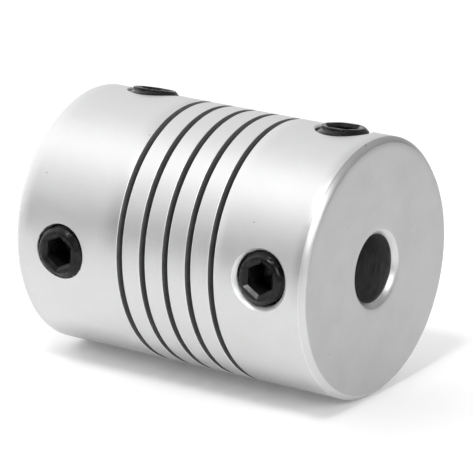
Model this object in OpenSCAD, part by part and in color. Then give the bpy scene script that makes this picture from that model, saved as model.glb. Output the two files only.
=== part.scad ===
// Helical beam coupling: one turned aluminium body with a spiral slit that leaves
// a flexible beam between two hubs, and two set screws in each hub.
// X is the shaft axis, with the origin on it half way along the body.
// The small bore is at the +X end and the large bore at the -X end.
// Angles round the body are counted about +X, from +Y (0) over +Z (90).

/* [Body] */
// Outside diameter, mm
body_d = 19; // [15:0.5:25]
// Overall length, mm
body_l = 25; // [20:0.5:35]
// Shaft bore at the +X end, mm
small_bore_d = 5; // [3:0.5:6.5]
// Shaft bore at the -X end, mm
large_bore_d = 8; // [6:0.5:9]
// Wider clearance bore inside the beam, mm
beam_bore_d = 9; // [8.6:0.1:10]
// Chamfer on the outer edge of each end, mm
end_chamfer = 0.4; // [0.1:0.05:1]
// Chamfer at the mouth of each bore, mm
bore_chamfer = 0.4; // [0.1:0.05:1]

/* [Spiral slit] */
// Width of the slit along the axis, mm
slit_w = 0.48; // [0.3:0.02:0.8]
// Advance of the slit in one turn, mm
slit_pitch = 1.971; // [1.6:0.001:2.4]
// Where the middle of the slit starts, underneath the body, mm from the middle
slit_start_x = -4.581; // [-6:0.001:-3]

/* [Set screws] */
// Thread diameter of the set screws, mm
screw_d = 4; // [3:1:4]
// Length of the set screws, mm
screw_l = 5; // [4:1:6]
// Width across the flats of the hex sockets, mm
socket_w = 2; // [1.5:0.5:2]
// Depth of the hex sockets, mm
socket_depth = 2.2; // [1.5:0.1:2.5]
// Distance of the small hub's screws from the middle, mm
small_screw_x = 8.8; // [8:0.05:9.5]
// Distance of the large hub's screws from the middle, mm
large_screw_x = 8.4; // [8:0.05:9.5]
// Angle of the small hub's front screw, degrees
small_front_angle = 173; // [160:1:190]
// Angle of the small hub's top screw, degrees
small_top_angle = 82.5; // [70:0.5:100]
// Angle of the large hub's front screw, degrees
large_front_angle = 180; // [160:1:190]
// Angle of the large hub's top screw, degrees
large_top_angle = 76; // [70:1:100]
// Height of the small hub's front screw face above the axis, mm
small_front_face = 9.55; // [8.5:0.05:10]
// Height of the small hub's top screw face above the axis, mm
small_top_face = 9.72; // [8.5:0.01:10]
// Height of the large hub's front screw face above the axis, mm
large_front_face = 9.8; // [9.1:0.05:10]
// Height of the large hub's top screw face above the axis, mm
large_top_face = 9.72; // [9.1:0.01:10]

/* [Hidden] */
// The body is one piece. The beam is divided into half turns so that it can flex.
half_turns = 8;
beam_turns = half_turns / 2;
first_angle = -90;
last_angle = first_angle + 360 * beam_turns;
// clear width of the cut between neighbouring pieces of the beam
bend_cut = 0.04;
twist_cut = 0.12;
slide_cut = 0.02;
body_r = body_d / 2;
small_bore_r = small_bore_d / 2;
large_bore_r = large_bore_d / 2;
half_l = body_l / 2;
// the beam's facets lie this far inside its true round surfaces
skin = 0.01;
beam_bore_r = beam_bore_d / 2;
beam_in_r = beam_bore_r + skin;
beam_out_r = body_r - skin;
// the clearance bore starts this far before the slit
relief = 0.3;
// the highest part of each hub's spiral step is cut square by this much
step_trim = 0.04;
// radii between which the hubs are cut back beside their steps
cut_in_r = beam_bore_r - 0.8;
cut_out_r = body_r + 0.8;
angle_step = 5;
hole_r = screw_d / 2;
thread_clear = 0.05;
screw_r = hole_r - thread_clear;
// chamfers at the mouths of the tapped holes
plain_mouth = 0.06;
broken_mouth = 0.12;
wide_mouth = 0.33;
// how far the hole cutters stand out of the body
reach = 0.6;

aluminium = [0.78, 0.79, 0.80];
black_steel = [0.12, 0.12, 0.13];

// middle of the slit at an angle counted on from turn to turn
function slit_x(angle) = slit_start_x + slit_pitch * (angle - first_angle) / 360;

// a point at a radius and an angle, where x follows the slit or stays put
function at(x, r, angle) = [x, r * cos(angle), r * sin(angle)];

// how far an end face at a radius turns back to leave half of a flat cut
function cut_angle(cut, r) = asin(cut / 2 / r);

// angle of ring i of n, with the end rings moved back by their cuts
function ring_angle(from, to, cut_a, cut_b, i, n, r) =
    i == 0 ? from + cut_angle(cut_a, r) :
    i == n ? to - cut_angle(cut_b, r) :
    from + (to - from) * i / n;

// faces of a bar of n lengths with four corners on every ring
function bar_faces(n) = concat(
    [[3, 2, 1, 0]],
    [for (i = [0 : n - 1]) for (k = [0 : 3])
        let (a = 4 * i + k, b = 4 * i + (k + 1) % 4)
        each [[a, b, a + 4], [b, b + 4, a + 4]]],
    [[4 * n, 4 * n + 1, 4 * n + 2, 4 * n + 3]]);

// a half turn of the beam between two turns of the slit
module beam_piece(number, cut_a, cut_b) {
    from = first_angle + 180 * (number - 1);
    to = from + 180;
    n = 180 / angle_step;
    points = [for (i = [0 : n])
        let (a_in = ring_angle(from, to, cut_a, cut_b, i, n, beam_in_r),
             a_out = ring_angle(from, to, cut_a, cut_b, i, n, beam_out_r))
        each [at(slit_x(a_in) + slit_w / 2, beam_in_r, a_in),
              at(slit_x(a_out) + slit_w / 2, beam_out_r, a_out),
              at(slit_x(a_out + 360) - slit_w / 2, beam_out_r, a_out),
              at(slit_x(a_in + 360) - slit_w / 2, beam_in_r, a_in)]];
    polyhedron(points, bar_faces(n), convexity = 4);
}

// what the slit and the beam take away beside a hub's spiral step, on the side away from it
module beside_step(start, rise, side) {
    n = 360 / angle_step - 1;
    far = slit_x(start) + side * (rise + 1);
    points = [for (i = [0 : n])
        let (back = i == 0 ? cut_angle(bend_cut, cut_in_r) : 0,
             back_out = i == 0 ? cut_angle(bend_cut, cut_out_r) : 0,
             a_in = start + side * (angle_step * i - back),
             a_out = start + side * (angle_step * i - back_out),
             near = slit_x(a_in) - side * slit_w / 2)
        each [at(near, cut_in_r, a_in),
              at(near, cut_out_r, a_out),
              at(far, cut_out_r, a_out),
              at(far, cut_in_r, a_in)]];
    polyhedron(points, bar_faces(n), convexity = 4);
}

// a turned hub with its length of the beam's tube, along +X to its chamfered outer end
module turned_hub(tube_x, relief_x, bore_r) {
    rotate([0, 90, 0])
        rotate_extrude()
            polygon([
                [beam_bore_r, tube_x],
                [body_r, tube_x],
                [body_r, half_l - end_chamfer],
                [body_r - end_chamfer, half_l],
                [bore_r + bore_chamfer, half_l],
                [bore_r, half_l - bore_chamfer],
                [bore_r, relief_x],
                [beam_bore_r, relief_x]]);
}

// brings what is built along +Z to a place along the axis and an angle round it
module around(x, angle) {
    translate([x, 0, 0])
        rotate([angle - 90, 0, 0])
            children();
}

// a tapped hole through one wall, cut at its full thread diameter
module tapped_hole(mouth) {
    rotate_extrude()
        polygon([
            [0, 0],
            [hole_r, 0],
            [hole_r, body_r - mouth],
            [hole_r + mouth + reach, body_r + reach],
            [0, body_r + reach]]);
}

// a hex socket set screw with a cup point, standing on its point along +Z
module set_screw(socket_turn) {
    crown = 0.4;
    point_h = 0.75;
    point_r = 1.15;
    cup_r = 0.95;
    cup_depth = 0.4;
    difference() {
        rotate_extrude()
            polygon([
                [0, cup_depth],
                [cup_r, 0],
                [point_r, 0],
                [screw_r, point_h],
                [screw_r, screw_l - crown],
                [screw_r - crown, screw_l],
                [0, screw_l]]);
        translate([0, 0, screw_l - socket_depth])
            rotate([0, 0, socket_turn])
                cylinder(r = socket_w / sqrt(3), h = 2 * socket_depth, $fn = 6);
    }
}

module small_hub() {
    tube_x = slit_x(last_angle) + slit_w / 2 + step_trim;
    foot_x = slit_x(last_angle + 360) + slit_w / 2;
    color(aluminium)
        difference() {
            turned_hub(tube_x, foot_x + relief, small_bore_r);
            beside_step(last_angle + 360, slit_pitch, -1);
            around(small_screw_x, small_front_angle) tapped_hole(wide_mouth);
            around(small_screw_x, small_top_angle) tapped_hole(broken_mouth);
        }
}

module large_hub() {
    tube_x = slit_x(first_angle + 360) - slit_w / 2 - step_trim;
    foot_x = slit_x(first_angle) - slit_w / 2;
    color(aluminium)
        difference() {
            mirror([1, 0, 0])
                turned_hub(-tube_x, relief - foot_x, large_bore_r);
            beside_step(first_angle, slit_pitch, 1);
            around(-large_screw_x, large_front_angle) tapped_hole(plain_mouth);
            around(-large_screw_x, large_top_angle) tapped_hole(plain_mouth);
        }
}

module beam_1() {
    color(aluminium) beam_piece(1, bend_cut, bend_cut);
}

module beam_2() {
    color(aluminium) beam_piece(2, bend_cut, twist_cut);
}

module beam_3() {
    color(aluminium) beam_piece(3, twist_cut, slide_cut);
}

module beam_4() {
    color(aluminium) beam_piece(4, slide_cut, twist_cut);
}

module beam_5() {
    color(aluminium) beam_piece(5, twist_cut, slide_cut);
}

module beam_6() {
    color(aluminium) beam_piece(6, slide_cut, twist_cut);
}

module beam_7() {
    color(aluminium) beam_piece(7, twist_cut, bend_cut);
}

module beam_8() {
    color(aluminium) beam_piece(8, bend_cut, bend_cut);
}

module placed_screw(x, angle, face, socket_turn) {
    color(black_steel)
        around(x, angle)
            translate([0, 0, face - screw_l])
                set_screw(socket_turn);
}

module screw_small_front() {
    placed_screw(small_screw_x, small_front_angle, small_front_face, 30);
}

module screw_small_top() {
    placed_screw(small_screw_x, small_top_angle, small_top_face, 10);
}

module screw_large_front() {
    placed_screw(-large_screw_x, large_front_angle, large_front_face, 25);
}

module screw_large_top() {
    placed_screw(-large_screw_x, large_top_angle, large_top_face, 45);
}

small_hub();
large_hub();
beam_1();
beam_2();
beam_3();
beam_4();
beam_5();
beam_6();
beam_7();
beam_8();
screw_small_front();
screw_small_top();
screw_large_front();
screw_large_top();
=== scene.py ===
import math

import bmesh
import bpy
from mathutils import Matrix, Vector


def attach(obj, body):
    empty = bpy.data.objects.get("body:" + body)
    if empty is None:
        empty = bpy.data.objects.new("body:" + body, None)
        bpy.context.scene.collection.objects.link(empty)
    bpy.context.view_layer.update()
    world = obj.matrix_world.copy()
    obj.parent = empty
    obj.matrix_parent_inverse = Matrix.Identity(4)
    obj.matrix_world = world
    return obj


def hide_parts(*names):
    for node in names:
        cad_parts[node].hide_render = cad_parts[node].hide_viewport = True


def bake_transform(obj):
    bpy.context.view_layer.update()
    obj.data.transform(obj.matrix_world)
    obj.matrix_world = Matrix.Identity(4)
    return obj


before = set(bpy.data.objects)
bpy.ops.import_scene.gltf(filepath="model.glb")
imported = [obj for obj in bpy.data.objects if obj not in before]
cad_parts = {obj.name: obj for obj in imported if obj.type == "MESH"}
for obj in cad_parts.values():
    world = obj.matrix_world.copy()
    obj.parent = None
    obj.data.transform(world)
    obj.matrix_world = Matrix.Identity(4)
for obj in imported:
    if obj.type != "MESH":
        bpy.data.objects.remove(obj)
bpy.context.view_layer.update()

MM = 0.001

# ---------------------------------------------------------------- sizes, mm and degrees
# as in the CAD
BODY_R = 9.5
HALF_L = 12.5
SMALL_BORE_R = 2.5
LARGE_BORE_R = 4.0
BEAM_BORE_R = 4.5
END_CHAMFER = 0.4
BORE_CHAMFER = 0.4
SLIT_W = 0.48
SLIT_PITCH = 1.971
SLIT_START_X = -4.581
FIRST = -90.0
HALF_TURNS = 8
LAST = FIRST + 180.0 * HALF_TURNS
RELIEF = 0.3
HOLE_R = 2.0
SCREW_R = 1.95
SCREW_L = 5.0
SCREW_CROWN = 0.4
POINT_H = 0.75
POINT_R = 1.15
SOCKET_W = 2.0
SOCKET_DEPTH = 2.2
# the beam's surfaces lie this far inside its wall
SKIN = 0.01

# only in the looks: the broken edges of the slit, and of the chamfers at the ends
EDGE = 0.055
END_EDGE = 0.05
# angles at which a broken edge's quarter round is drawn between its ends, radians
EDGE_ANGLES = (0.52, 1.05)
# the threads: pitch, its shares at the major radius and on the two flanks, and minor radii
THREAD_PITCH = 0.7
THREAD_FLAT = 0.14
THREAD_FLANKS = 0.62
HOLE_MINOR_R = 1.66
SCREW_MINOR_R = 1.58
# plain height at the mouth of a tapped hole, above its thread
CLEAR_H = 0.55
# bevel at the mouth of a hex socket
SOCKET_BEVEL = 0.24

# name: hub, x, angle, height of the face, turn of the socket, chamfer at the hole's mouth and
# how much wider it is on the side away from the top
SCREWS = {
    "screw_small_front": ("small_hub", 8.8, 173.0, 9.55, 30.0, 0.30, 0.12),
    "screw_small_top": ("small_hub", 8.8, 82.5, 9.72, 10.0, 0.12, 0.0),
    "screw_large_front": ("large_hub", -8.4, 180.0, 9.8, 25.0, 0.06, 0.0),
    "screw_large_top": ("large_hub", -8.4, 76.0, 9.72, 45.0, 0.06, 0.0),
}

# material slots of the aluminium pieces
OUTER_SKIN, SLIT_WALL, TAPPED_HOLE, END_FACE, BORE, BROKEN_EDGE, BORE_MOUTH = range(7)
# least x of a face's normal on the slit's walls, and on its broken edges
WALL_TILT = 0.9
EDGE_TILT = 0.15
# the slit, the beam and the wider bore inside it lie nearer the middle than this
BEAM_END_X = 6.2


# ---------------------------------------------------------------- camera, first
def make_camera():
    """A long lens that faces the origin, moved a little aside and above. Lengths in mm."""
    azimuth, elevation = math.radians(34.506), math.radians(17.764)
    distance, aside, above = 270.267, 0.421, 0.131
    back = Vector((math.sin(azimuth) * math.cos(elevation),
                   -math.cos(azimuth) * math.cos(elevation), math.sin(elevation)))
    right = Vector((math.cos(azimuth), math.sin(azimuth), 0.0))
    up = back.cross(right)
    turn = Matrix((right, up, back)).transposed().to_4x4()
    data = bpy.data.cameras.new("camera")
    data.sensor_width = 36.0
    data.lens = 283.28886
    data.clip_start, data.clip_end = 0.01, 20.0
    camera = bpy.data.objects.new("camera", data)
    place = back * distance + right * aside + up * above
    camera.matrix_world = Matrix.Translation(place * MM) @ turn
    bpy.context.scene.collection.objects.link(camera)
    bpy.context.scene.camera = camera


make_camera()


# ---------------------------------------------------------------- mesh helpers
def slit_x(angle):
    """Middle of the slit at an angle counted on from turn to turn, mm."""
    return SLIT_START_X + SLIT_PITCH * (angle - FIRST) / 360.0


def at(x, r, angle):
    """A point at a place along the axis, a radius and an angle round it, in metres."""
    a = math.radians(angle)
    return (x * MM, r * math.cos(a) * MM, r * math.sin(a) * MM)


def new_object(name, verts, faces, materials):
    """A mesh object of points in metres, with its materials in slots."""
    mesh = bpy.data.meshes.new(name)
    mesh.from_pydata(verts, [], faces)
    mesh.validate()
    for m in materials:
        mesh.materials.append(m)
    obj = bpy.data.objects.new(name, mesh)
    bpy.context.scene.collection.objects.link(obj)
    return obj


def outward(obj):
    """Makes every face of a closed mesh look outwards."""
    bm = bmesh.new()
    bm.from_mesh(obj.data)
    bmesh.ops.recalc_face_normals(bm, faces=bm.faces)
    bm.to_mesh(obj.data)
    bm.free()


def smooth(obj, angle):
    """Smooth shading, with sharp edges where faces meet at more than the angle."""
    mesh = obj.data
    mesh.polygons.foreach_set("use_smooth", [True] * len(mesh.polygons))
    mesh.set_sharp_from_angle(angle=math.radians(angle))


def apply_modifiers(obj):
    """Makes the modified mesh the object's own."""
    depsgraph = bpy.context.evaluated_depsgraph_get()
    mesh = bpy.data.meshes.new_from_object(obj.evaluated_get(depsgraph), depsgraph=depsgraph)
    obj.modifiers.clear()
    obj.data = mesh


def weigh_normals(obj, weight=50):
    """Keeps large faces flat in the shading, beside small ones that round an edge."""
    weighted = obj.modifiers.new("weighted", "WEIGHTED_NORMAL")
    weighted.keep_sharp = True
    weighted.weight = weight
    apply_modifiers(obj)


def corner(cx, cy, radius, start, n=3):
    """Points and normals of a rounded corner, turning 90 degrees clockwise from start."""
    points = []
    for i in range(n + 1):
        a = math.radians(start - 90.0 * i / n)
        c, s = math.cos(a), math.sin(a)
        points.append((cx + radius * c, cy + radius * s, c, s))
    return points


def straight(a, b, n, normal):
    """Points strictly between a and b, with one normal."""
    return [(a[0] + (b[0] - a[0]) * i / n, a[1] + (b[1] - a[1]) * i / n, normal[0], normal[1])
            for i in range(1, n)]


# ---------------------------------------------------------------- the flexible beam
def beam_section(width):
    """The beam's rounded rectangle, clockwise, as (s, r, normal_s, normal_r), with s along the axis."""
    low, high, e = BEAM_BORE_R + SKIN, BODY_R - SKIN, EDGE
    # parts that its sides are divided in
    across, deep = 4, 7
    pts = []
    pts += corner(e, high - e, e, 180.0)
    pts += straight((e, high), (width - e, high), across, (0, 1))
    pts += corner(width - e, high - e, e, 90.0)
    pts += straight((width, high - e), (width, low + e), deep, (1, 0))
    pts += corner(width - e, low + e, e, 0.0)
    pts += straight((width - e, low), (e, low), across, (0, -1))
    pts += corner(e, low + e, e, -90.0)
    pts += straight((0, low + e), (0, high - e), deep, (-1, 0))
    return pts


def beam_piece(name, start, end, materials, step=2.0):
    """A length of the beam, swept along the helix with a ring every few degrees, and capped at both
    ends. Its normals are worked out, so that neighbouring lengths shade as one."""
    n = int(round((end - start) / step))
    section = beam_section(SLIT_PITCH - SLIT_W)
    k = len(section)
    lead = SLIT_PITCH / (2 * math.pi)
    verts, normals = [], []
    for i in range(n + 1):
        angle = start + (end - start) * i / n
        a = math.radians(angle)
        for s, r, ns, nr in section:
            verts.append(at(slit_x(angle) + SLIT_W / 2 + s, r, angle))
            wall = Vector((r, lead * math.sin(a), -lead * math.cos(a))).normalized()
            normals.append((wall * ns + Vector((0, math.cos(a), math.sin(a))) * nr).normalized())
    faces = []
    for i in range(n):
        for j in range(k):
            a, b = i * k + j, i * k + (j + 1) % k
            faces.append((a, b, b + k, a + k))
    faces.append(tuple(range(k - 1, -1, -1)))
    faces.append(tuple(n * k + j for j in range(k)))
    obj = new_object(name, verts, faces, materials)
    outward(obj)
    mesh = obj.data
    smooth(obj, 180.0)
    split = []
    for poly in mesh.polygons:
        cap = len(poly.vertices) > 4
        tilt = abs(poly.normal.x)
        if cap or tilt > WALL_TILT:
            poly.material_index = SLIT_WALL
        elif tilt > EDGE_TILT and math.hypot(poly.center.y, poly.center.z) > (BODY_R - EDGE) * MM:
            poly.material_index = BROKEN_EDGE
        else:
            poly.material_index = OUTER_SKIN
        for v in poly.vertices:
            split.append(Vector((0, 0, 0)) if cap else normals[v])
        if cap:
            poly.use_smooth = False
    mesh.normals_split_custom_set(split)
    return obj


# ---------------------------------------------------------------- threads
def thread_r(z, angle, minor, major):
    """Radius of a right-hand thread at a height and an angle, mm and radians."""
    from_top = abs(((z / THREAD_PITCH - angle / (2 * math.pi)) % 1.0) - 0.5) * 2
    down = min(max((from_top - THREAD_FLAT) / THREAD_FLANKS, 0.0), 1.0)
    return major - (major - minor) * down


def turned(rings, n, bottom, top):
    """Verts and faces of a stack of rings of n points, closed to a point at the bottom and the top."""
    verts = [p for ring in rings for p in ring]
    faces = []
    for i in range(len(rings) - 1):
        for j in range(n):
            a, b = i * n + j, i * n + (j + 1) % n
            faces.append((a, b, b + n, a + n))
    low, high = len(verts), len(verts) + 1
    last = (len(rings) - 1) * n
    verts += [bottom, top]
    faces += [(low, (j + 1) % n, j) for j in range(n)]
    faces += [(high, last + j, last + (j + 1) % n) for j in range(n)]
    return verts, faces


def around(x, angle):
    """Takes local +Z to a radial direction of the body at x, metres."""
    return Matrix.Translation((x * MM, 0, 0)) @ Matrix.Rotation(math.radians(angle - 90.0), 4, "X")


def round_point(r, z, a):
    """A point at a radius, a height and an angle in radians, in metres."""
    return (r * math.cos(a) * MM, r * math.sin(a) * MM, z * MM)


def circle(r, z, n):
    """n points round a circle."""
    return [round_point(r, z, 2 * math.pi * j / n) for j in range(n)]


def hole_cutter(name, x, angle, mouth, lean):
    """What the tap and the chamfering tool take out of a hub, from inside its bore outwards."""
    n, rings_a_turn = 96, 10
    bottom, top = 1.2, BODY_R + 0.9
    major_r = HOLE_R + 0.02
    rings = []
    steps = int((top - bottom) / (THREAD_PITCH / rings_a_turn))
    for i in range(steps + 1):
        z = bottom + (top - bottom) * i / steps
        ring = []
        for j in range(n):
            a = 2 * math.pi * j / n
            r = HOLE_R
            if z <= BODY_R - mouth - CLEAR_H:
                r = thread_r(z, a, HOLE_MINOR_R, major_r)
            # the chamfer follows the hole's rim up and down the round body
            rim = math.sqrt(BODY_R ** 2 - (HOLE_R * math.sin(a)) ** 2)
            r = max(r, HOLE_R + z - rim + mouth - lean * math.sin(a))
            ring.append(round_point(r, z, a))
        rings.append(ring)
    verts, faces = turned(rings, n, (0, 0, bottom * MM), (0, 0, top * MM))
    obj = new_object(name, verts, faces, [])
    obj.data.transform(around(x, angle))
    outward(obj)
    return obj


def cut(obj, cutter):
    """Cuts the cutter's shape out of the object, and removes the cutter."""
    modifier = obj.modifiers.new("hole", "BOOLEAN")
    modifier.operation = "DIFFERENCE"
    modifier.solver = "EXACT"
    modifier.object = cutter
    apply_modifiers(obj)
    bpy.data.objects.remove(cutter)


# ---------------------------------------------------------------- the hubs
def step_outline(top):
    """The end of the spiral step as (s, r), from the bore to the outer skin."""
    low, high, e, parts = BEAM_BORE_R, BODY_R, EDGE, 7
    outline = [(top - e, low)]
    outline += [(top - e + e * math.sin(q), low + e - e * math.cos(q)) for q in EDGE_ANGLES]
    outline += [(top, low + e + (high - low - 2 * e) * i / parts) for i in range(parts)]
    outline += [(top, high - e)]
    outline += [(top - e + e * math.cos(q), high - e + e * math.sin(q)) for q in EDGE_ANGLES]
    outline += [(top - e, high)]
    return outline


def end_outline(split_s, inner_s, bore_r):
    """The rest of a hub as (s, r), round its outer end and back through its bore. Extra points
    beside the edges keep the shading flat up to them."""
    end, c, b = -HALF_L, END_CHAMFER, BORE_CHAMFER
    mouth_r = bore_r + b
    # how far a broken corner reaches along the flat and down the chamfer
    flat, slope = 0.4 * END_EDGE, 0.28 * END_EDGE
    # how far the extra points lie from the edges, on the skin, in the bore and on the end face
    by_rim, by_bore, by_face_rim, by_mouth = 0.8, 0.6, 0.5, 0.4
    outline = [(split_s, BODY_R)]
    outline += [(split_s + (end + c + by_rim - split_s) * i / 3, BODY_R) for i in (1, 2, 3)]
    outline += [(end + c + flat, BODY_R), (end + c - slope, BODY_R - slope),
                (end + slope, BODY_R - c + slope), (end, BODY_R - c - flat)]
    outline += [(end, BODY_R - c - by_face_rim), (end, (BODY_R + mouth_r) / 2),
                (end, mouth_r + by_mouth)]
    outline += [(end, mouth_r + flat), (end + slope, mouth_r - slope),
                (end + b - slope, bore_r + slope), (end + b + flat, bore_r)]
    outline += [(end + b + by_bore, bore_r), (inner_s - by_bore, bore_r), (inner_s, bore_r)]
    # a wide shoulder between the bores gets two more
    by_low, by_high = 0.3, 0.2
    if BEAM_BORE_R - bore_r > by_low + by_high:
        outline += [(inner_s, bore_r + by_low), (inner_s, BEAM_BORE_R - by_high)]
    outline += [(inner_s, BEAM_BORE_R), (split_s, BEAM_BORE_R)]
    return outline


def hub(name, side, start, bore_r, holes, materials):
    """A turned hub with the spiral step that the slit leaves. Its own axis s runs from the outer
    end (s = -HALF_L) to the beam, and side turns it end for end for the small hub."""
    n = 288
    foot = side * slit_x(start) - SLIT_W / 2
    # the step's rings rise with the slit, and meet the level rings just below its foot
    split_s = foot - 0.14
    lower = end_outline(split_s, foot - RELIEF, bore_r)
    verts, faces = [], []
    for i in range(n + 1):
        t = 360.0 * i / n
        upper = step_outline(foot + SLIT_PITCH / 360.0 * t)
        verts += [at(side * s, r, start + side * t) for s, r in upper]
    base = len(verts)
    for i in range(n):
        t = 360.0 * i / n
        verts += [at(side * s, r, start + side * t) for s, r in lower]
    u, w = len(upper), len(lower)
    for i in range(n):
        a, a_next = i * u, (i + 1) * u
        b, b_next = base + i * w, base + ((i + 1) % n) * w
        faces += [(a + j, a + j + 1, a_next + j + 1, a_next + j) for j in range(u - 1)]
        faces += [(b + j, b + j + 1, b_next + j + 1, b_next + j) for j in range(w - 1)]
        # the last faces also touch the foot of the step, where its first ring begins
        outer_foot, inner_foot = ((u - 1,), (0,)) if i == n - 1 else ((), ())
        faces.append((a + u - 1, b, b_next) + outer_foot + (a_next + u - 1,))
        faces.append((b + w - 1, a, a_next) + inner_foot + (b_next + w - 1,))
    # the step's end wall, between its highest ring and its lowest
    faces.append(tuple(n * u + j for j in range(u)) + tuple(reversed(range(u))))
    obj = new_object(name, verts, faces, materials)
    outward(obj)
    for hole_name, hole in holes.items():
        cut(obj, hole_cutter(hole_name, *hole))
    outward(obj)
    smooth(obj, 28.0)
    weigh_normals(obj, weight=80)
    for poly in obj.data.polygons:
        poly.material_index = hub_slot(poly, bore_r)
    return obj


def hub_slot(poly, bore_r):
    """The material slot of a hub's face, from where it lies and how it is turned."""
    # how near a face lies to the round surface that it belongs to, how deep the broken rim of a
    # hole reaches, and the outward part of its faces' normals
    near, rim_depth, least_out, most_out = 0.03, 1.0, 0.4, 0.97
    c = poly.center / MM
    r = math.hypot(c.y, c.z)
    tilt = abs(poly.normal.x)
    outward_part = (poly.normal.y * c.y + poly.normal.z * c.z) / r if r > 0 else 0.0
    in_beam = abs(c.x) < BEAM_END_X
    if in_beam and tilt > WALL_TILT:
        return SLIT_WALL
    if in_beam and tilt > EDGE_TILT and r > BODY_R - EDGE:
        return BROKEN_EDGE
    if abs(c.x) > HALF_L - END_CHAMFER:
        if r > BODY_R - END_CHAMFER:
            return OUTER_SKIN
        return BORE_MOUTH if r < bore_r + BORE_CHAMFER else END_FACE
    if r > BODY_R - rim_depth and least_out < outward_part < most_out:
        return BROKEN_EDGE
    if r < (BEAM_BORE_R if in_beam else bore_r) + near:
        return BORE
    return TAPPED_HOLE if r < BODY_R - near else OUTER_SKIN


# ---------------------------------------------------------------- set screws
def hexagon(n, width, z, turn):
    """n points round a hexagon of that width across flats."""
    pts = []
    for j in range(n):
        a = 2 * math.pi * j / n
        r = width / 2 / math.cos(((a - turn) % (math.pi / 3)) - math.pi / 6)
        pts.append(round_point(r, z, a))
    return pts


def set_screw(name, x, angle, face, socket_turn, materials):
    """M4 set screw with a cup point: real thread, chamfered crown, hex socket with a drilled floor."""
    n, rings_a_turn = 144, 12
    bottom, floor_z = face - SCREW_L, face - SOCKET_DEPTH
    flat_r = SCREW_R - SCREW_CROWN
    # (radius, height) along the screw, and (width, height) in its socket. The cup and the drilled
    # floor both close to a point.
    cup = ((0.25, bottom + 0.3), (0.92, bottom + 0.02), (0.98, bottom), (POINT_R, bottom))
    rim = ((flat_r + 0.012, face - 0.02), (flat_r - 0.02, face))
    socket = ((SOCKET_W + 2 * SOCKET_BEVEL, face), (SOCKET_W, face - 0.9 * SOCKET_BEVEL),
              (SOCKET_W, face - 0.6), (SOCKET_W, floor_z + 0.05), (SOCKET_W - 0.06, floor_z))
    drilled = ((0.92, floor_z), (0.4, floor_z - 0.22))
    rings = [circle(r, z, n) for r, z in cup]
    steps = int(SCREW_L / (THREAD_PITCH / rings_a_turn))
    for i in range(1, steps):
        z = bottom + SCREW_L * i / steps
        ring = []
        for j in range(n):
            a = 2 * math.pi * j / n
            r = thread_r(z, a, SCREW_MINOR_R, SCREW_R)
            r = min(r, POINT_R + (z - bottom) * (SCREW_R - POINT_R) / POINT_H)
            r = min(r, flat_r + (face - z))
            ring.append(round_point(r, z, a))
        rings.append(ring)
    rings += [circle(r, z, n) for r, z in rim]
    rings += [hexagon(n, width, z, math.radians(socket_turn)) for width, z in socket]
    rings += [circle(r, z, n) for r, z in drilled]
    deep = 0.36
    verts, faces = turned(rings, n, (0, 0, (bottom + deep) * MM), (0, 0, (floor_z - deep) * MM))
    obj = new_object(name, verts, faces, materials)
    obj.data.transform(around(x, angle))
    outward(obj)
    smooth(obj, 35.0)
    weigh_normals(obj)
    return obj


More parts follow.
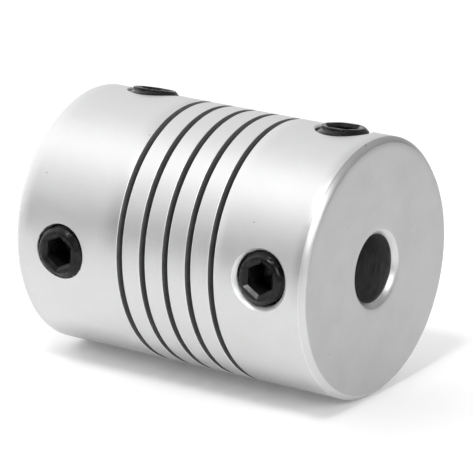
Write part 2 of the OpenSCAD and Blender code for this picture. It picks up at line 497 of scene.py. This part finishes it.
# ---------------------------------------------------------------- materials
class Nodes:
    """Short calls for building a node material."""

    def __init__(self, name):
        self.material = bpy.data.materials.new(name)
        self.material.use_nodes = True
        self.tree = self.material.node_tree
        self.tree.nodes.clear()
        self.out = self.add("ShaderNodeOutputMaterial")
        self.shader = self.add("ShaderNodeBsdfPrincipled")
        self.link(self.shader.outputs[0], self.out.inputs[0])
        self.where = self.add("ShaderNodeTexCoord").outputs["Object"]

    def add(self, kind, **settings):
        node = self.tree.nodes.new(kind)
        for key, value in settings.items():
            setattr(node, key, value)
        return node

    def link(self, a, b):
        self.tree.links.new(a, b)

    def feed(self, socket, value):
        if isinstance(value, (int, float, tuple)):
            socket.default_value = value
        else:
            self.link(value, socket)

    def noise(self, size_mm, detail=2.0, rough=0.5, where=None):
        node = self.add("ShaderNodeTexNoise")
        self.link(where or self.where, node.inputs["Vector"])
        node.inputs["Scale"].default_value = 1.0 / (size_mm * MM)
        node.inputs["Detail"].default_value = detail
        node.inputs["Roughness"].default_value = rough
        return node.outputs["Fac"]

    def remap(self, value, low, high, to_low, to_high):
        node = self.add("ShaderNodeMapRange", clamp=True)
        self.feed(node.inputs["Value"], value)
        for key, number in zip(("From Min", "From Max", "To Min", "To Max"),
                               (low, high, to_low, to_high)):
            node.inputs[key].default_value = number
        return node.outputs["Result"]

    def math(self, operation, a, b=0.0, c=0.0):
        node = self.add("ShaderNodeMath", operation=operation)
        for socket, value in zip(node.inputs, (a, b, c)):
            self.feed(socket, value)
        return node.outputs[0]

    def mix(self, factor, a, b):
        """Mixes two colours. A Mix node's colour sockets are inputs 6 and 7 and output 2."""
        node = self.add("ShaderNodeMix", data_type="RGBA")
        self.feed(node.inputs[0], factor)
        for socket, value in ((node.inputs[6], a), (node.inputs[7], b)):
            self.feed(socket, value + (1.0,) if isinstance(value, tuple) else value)
        return node.outputs[2]

    def stretched(self, scale, turn=(0, 0, 0)):
        node = self.add("ShaderNodeMapping")
        self.link(self.where, node.inputs["Vector"])
        node.inputs["Scale"].default_value = scale
        node.inputs["Rotation"].default_value = turn
        return node.outputs["Vector"]

    def dents(self, places):
        """1 inside any of the small dents at (x, y, z, radius) in mm, fading to 0 at their rims."""
        total = None
        for x, y, z, radius in places:
            node = self.add("ShaderNodeVectorMath", operation="DISTANCE")
            self.link(self.where, node.inputs[0])
            node.inputs[1].default_value = (x * MM, y * MM, z * MM)
            fade = self.remap(node.outputs["Value"], radius * 0.45 * MM, radius * MM, 1.0, 0.0)
            total = fade if total is None else self.math("MAXIMUM", total, fade)
        return total

    def bump(self, height, distance_mm, strength):
        node = self.add("ShaderNodeBump")
        self.link(height, node.inputs["Height"])
        node.inputs["Distance"].default_value = distance_mm * MM
        node.inputs["Strength"].default_value = strength
        return node.outputs["Normal"]


def on_skin(x, angle, radius):
    """A dent on the outer surface, as (x, y, z, radius) in mm."""
    a = math.radians(angle)
    return (x, BODY_R * math.cos(a), BODY_R * math.sin(a), radius)


def on_face(y, z, radius):
    """A dent in the small hub's end face."""
    return (HALF_L, y, z, radius)


def blasted(name, pale, dark, rough, dents, dent_shade_amount):
    """Fine bead-blasted, clear anodised aluminium, with a few small dents painted darker for their
    shade, and rub marks.
    """
    grain_tone, speck_tone, dent_shade_tone = (0.53, 0.53, 0.535), (0.44, 0.44, 0.44), (0.20, 0.195, 0.19)
    m = Nodes(name)
    grain = m.noise(0.075, 3.0, 0.6)
    cloud = m.noise(2.6, 3.0, 0.55)
    speck = m.noise(0.16, 2.0, 0.5)
    rub = m.noise(1.0, 2.0, 0.6, m.stretched((0.35, 2.2, 1.4), (0.4, 0.2, 0.9)))
    tone = m.mix(m.remap(cloud, 0.3, 0.7, 0.0, 1.0), dark, pale)
    tone = m.mix(m.remap(grain, 0.35, 0.75, 0.0, 0.34), tone, grain_tone)
    tone = m.mix(m.remap(speck, 0.70, 0.80, 0.0, 0.35), tone, speck_tone)
    dented = m.dents(dents)
    # painted shade: the dents are drawn darker for the shade inside them
    tone = m.mix(m.remap(dented, 0.0, 1.0, 0.0, dent_shade_amount), tone, dent_shade_tone)
    m.link(tone, m.shader.inputs["Base Color"])
    m.shader.inputs["Metallic"].default_value = 1.0
    uneven = m.remap(cloud, 0.3, 0.7, rough - 0.02, rough + 0.02)
    uneven = m.math("ADD", uneven, m.remap(rub, 0.60, 0.78, 0.0, -0.05))
    m.link(uneven, m.shader.inputs["Roughness"])
    height = m.math("ADD", grain, m.math("MULTIPLY", speck, 0.6))
    height = m.math("MULTIPLY_ADD", dented, -3.0, height)
    m.link(m.bump(height, 0.012, 0.35), m.shader.inputs["Normal"])
    return m.material


def aluminium_skin():
    return blasted("aluminium_skin", (0.665, 0.666, 0.670), (0.635, 0.635, 0.632), 0.42,
                   [on_skin(12.25, 97.0, 0.17), on_skin(-6.6, 186.0, 0.10), on_skin(7.6, 150.0, 0.08),
                    on_skin(1.9, 231.0, 0.09), on_skin(-10.6, 147.0, 0.07), on_skin(-3.9, 119.0, 0.08),
                    on_skin(10.9, 36.0, 0.12), on_skin(-9.7, 318.0, 0.10)], 0.75)


def aluminium_face_painted_shade():
    # painted shade: the same blasted aluminium as the skin, given a darker tone for the dimmer light on
    # the end faces
    return blasted("aluminium_face_painted_shade", (0.525, 0.525, 0.53), (0.465, 0.465, 0.462), 0.46,
                   [on_face(-3.9, 4.1, 0.09), on_face(4.7, 2.0, 0.08), on_face(5.2, 2.3, 0.06),
                    on_face(-1.2, -4.8, 0.08), on_face(-0.7, -4.5, 0.05), on_face(-6.1, -4.6, 0.09),
                    on_face(2.2, 7.4, 0.07)], 0.4)


def aluminium_slit_painted_shade():
    """The slit's walls: sawn aluminium with fine feed marks round the axis, painted dark for the shade
    deep in the slit.
    """
    m = Nodes("aluminium_slit_painted_shade")
    marks = m.noise(0.09, 2.0, 0.6, m.stretched((0.2, 1.0, 1.0)))
    cloud = m.noise(1.2, 2.0)
    # painted shade: these dark tones stand for the shade inside the narrow slit, not the sawn metal's
    # own colour
    tone = m.mix(m.remap(marks, 0.35, 0.7, 0.0, 1.0), (0.19, 0.19, 0.188), (0.29, 0.29, 0.288))
    tone = m.mix(m.remap(cloud, 0.4, 0.7, 0.0, 0.4), tone, (0.15, 0.15, 0.147))
    m.link(tone, m.shader.inputs["Base Color"])
    m.shader.inputs["Metallic"].default_value = 0.4
    m.link(m.remap(marks, 0.3, 0.7, 0.44, 0.58), m.shader.inputs["Roughness"])
    m.link(m.bump(marks, 0.02, 0.4), m.shader.inputs["Normal"])
    return m.material


def machined(name, pale, dark, rough, metallic):
    """Turned or tapped aluminium with fine rings along the cut."""
    m = Nodes(name)
    rings = m.noise(0.11, 2.0, 0.55, m.stretched((1.0, 0.12, 0.12)))
    cloud = m.noise(1.6, 2.0)
    tone = m.mix(m.remap(rings, 0.3, 0.7, 0.0, 1.0), dark, pale)
    tone = m.mix(m.remap(cloud, 0.45, 0.75, 0.0, 0.3), tone, pale)
    m.link(tone, m.shader.inputs["Base Color"])
    m.shader.inputs["Metallic"].default_value = metallic
    m.link(m.remap(rings, 0.3, 0.7, rough - 0.05, rough + 0.05), m.shader.inputs["Roughness"])
    m.link(m.bump(rings, 0.015, 0.3), m.shader.inputs["Normal"])
    return m.material


def black_oxide():
    """Set screws: oiled black oxide on steel, with paler worn crests."""
    m = Nodes("black_oxide")
    cloud = m.noise(0.7, 3.0, 0.6)
    grain = m.noise(0.09, 2.0, 0.5)
    tone = m.mix(m.remap(cloud, 0.35, 0.7, 0.0, 1.0), (0.006, 0.006, 0.007), (0.016, 0.015, 0.015))
    tone = m.mix(m.remap(grain, 0.68, 0.80, 0.0, 0.4), tone, (0.05, 0.048, 0.045))
    m.link(tone, m.shader.inputs["Base Color"])
    m.shader.inputs["Metallic"].default_value = 0.1
    m.shader.inputs["Specular IOR Level"].default_value = 0.22
    m.link(m.remap(cloud, 0.3, 0.7, 0.17, 0.31), m.shader.inputs["Roughness"])
    m.link(m.bump(m.math("ADD", grain, cloud), 0.012, 0.4), m.shader.inputs["Normal"])
    return m.material


# in the order of the material slots
metals = [aluminium_skin(), aluminium_slit_painted_shade(),
          machined("aluminium_tapped", (0.76, 0.76, 0.765), (0.64, 0.64, 0.64), 0.31, 1.0),
          aluminium_face_painted_shade(),
          # painted shade: the bore's dark tone stands for the shade deep inside it
          machined("aluminium_bore_painted_shade", (0.17, 0.17, 0.172), (0.10, 0.10, 0.10), 0.46, 0.6),
          # raw cut aluminium on the broken edges and hole rims, made pale and partly diffuse so they
          # show as bright lines from every side: painted highlight
          machined("aluminium_edge_painted_highlight", (0.84, 0.84, 0.845), (0.74, 0.74, 0.74), 0.42, 0.55),
          machined("aluminium_mouth", (0.69, 0.69, 0.695), (0.61, 0.61, 0.61), 0.41, 1.0)]
black = black_oxide()


# ---------------------------------------------------------------- build the pieces
def holes_of(hub_name):
    """The tapped holes of a hub, as name: (x, angle, mouth, lean)."""
    return {name: (x, angle, mouth, lean)
            for name, (body, x, angle, _, _, mouth, lean) in SCREWS.items() if body == hub_name}


for name, side, start, bore_r in (("small_hub", -1, LAST + 360.0, SMALL_BORE_R),
                                  ("large_hub", 1, FIRST, LARGE_BORE_R)):
    body = hub(name + "_body", side, start, bore_r, holes_of(name), metals)
    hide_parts(name)
    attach(body, name)

# The beam is drawn in lengths that each cross one joint of the chain, and meet halfway between joints.
for i in range(HALF_TURNS + 1):
    joint_angle = FIRST + 180.0 * i
    start = joint_angle - (90.0 if i > 0 else 0.0)
    end = joint_angle + (90.0 if i < HALF_TURNS else 0.0)
    piece = beam_piece(f"beam_length_{i}", start, end, metals)
    if i > 0:
        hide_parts(f"beam_{i}")
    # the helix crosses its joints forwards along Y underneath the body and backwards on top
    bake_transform(piece)

for name, (_, x, angle, face, socket_turn, _, _) in SCREWS.items():
    screw = set_screw(name + "_m4", x, angle, face, socket_turn, [black])
    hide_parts(name)
    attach(screw, name)


# ---------------------------------------------------------------- floor and light
FLOOR_GLOW = 0.09
# the studio walls: side, cosine to it where the glow begins, and what it adds
GLOW = (((-1.0, 0.0, 0.0), 0.0, 1.8), ((0.0, 0.0, 1.0), 0.0, 0.24),
        ((-0.54, -0.84, -0.02), 0.85, -4.8), ((0.31, 0.78, 0.54), 0.6, 0.8))
# direction, distance and size in metres, and power in watts of each lamp
LIGHTS = {
    "key": ((0.055, -0.42, 0.9), 0.5, 0.12, 0.92),
    "side": ((0.75, -0.35, 0.55), 0.5, 0.3, 1.05),
    "top": ((-0.3, -0.42, 0.9), 0.5, 0.3, 0.04),
    "strip": ((-0.54, -0.16, 0.83), 0.5, 0.3, 0.1),
}


def make_floor():
    """Slightly glowing white paper, which the part lies on."""
    m = Nodes("floor_paper")
    fibre = m.noise(3.0, 2.0)
    m.link(m.mix(fibre, (0.945, 0.945, 0.945), (0.955, 0.955, 0.955)), m.shader.inputs["Base Color"])
    m.shader.inputs["Emission Color"].default_value = (1.0, 1.0, 1.0, 1.0)
    m.shader.inputs["Emission Strength"].default_value = FLOOR_GLOW
    m.shader.inputs["Roughness"].default_value = 0.6
    m.shader.inputs["Specular IOR Level"].default_value = 0.2
    size = 1.5
    corners = ((-size, -size), (size, -size), (size, size), (-size, size))
    floor = new_object("floor", [(x, y, -BODY_R * MM) for x, y in corners], [(0, 1, 2, 3)],
                       [m.material])


def make_light(name, direction, distance, size, power):
    """A round lamp that faces the origin, and that the camera doesn't see."""
    data = bpy.data.lights.new(name, "AREA")
    data.shape = "DISK"
    data.size = size
    data.energy = power
    lamp = bpy.data.objects.new(name, data)
    towards = Vector(direction).normalized()
    turn = towards.to_track_quat("Z", "Y").to_matrix().to_4x4()
    lamp.matrix_world = Matrix.Translation(towards * distance) @ turn
    lamp.visible_camera = False
    bpy.context.scene.collection.objects.link(lamp)


def make_world():
    """White studio walls, brighter or darker towards some sides. The camera sees plain white."""
    world = bpy.data.worlds.new("studio")
    bpy.context.scene.world = world
    world.use_nodes = True
    tree = world.node_tree
    tree.nodes.clear()

    def add(kind, **settings):
        node = tree.nodes.new(kind)
        for key, value in settings.items():
            setattr(node, key, value)
        return node

    def calculate(operation, *values):
        node = add("ShaderNodeMath", operation=operation)
        for socket, value in zip(node.inputs, values):
            if isinstance(value, float):
                socket.default_value = value
            else:
                tree.links.new(value, socket)
        return node.outputs[0]

    way = add("ShaderNodeTexCoord").outputs["Generated"]
    total = 0.0
    for side, start, amount in GLOW:
        dot = add("ShaderNodeVectorMath", operation="DOT_PRODUCT")
        tree.links.new(way, dot.inputs[0])
        dot.inputs[1].default_value = Vector(side).normalized()
        lit = calculate("MAXIMUM", calculate("SUBTRACT", dot.outputs["Value"], start), 0.0)
        total = calculate("MULTIPLY_ADD", lit, amount, total)
    walls = add("ShaderNodeBackground")
    tree.links.new(calculate("MAXIMUM", total, 0.0), walls.inputs["Strength"])
    seen = add("ShaderNodeBackground")
    seen.inputs["Strength"].default_value = 1.05
    for background in (walls, seen):
        background.inputs["Color"].default_value = (1.0, 1.0, 1.0, 1.0)
    path = add("ShaderNodeLightPath")
    mix = add("ShaderNodeMixShader")
    tree.links.new(path.outputs["Is Camera Ray"], mix.inputs[0])
    tree.links.new(walls.outputs[0], mix.inputs[1])
    tree.links.new(seen.outputs[0], mix.inputs[2])
    tree.links.new(mix.outputs[0], add("ShaderNodeOutputWorld").inputs[0])


make_floor()
for lamp_name, lamp in LIGHTS.items():
    make_light(lamp_name, *lamp)
make_world()
bpy.context.scene.view_settings.view_transform = "Standard"
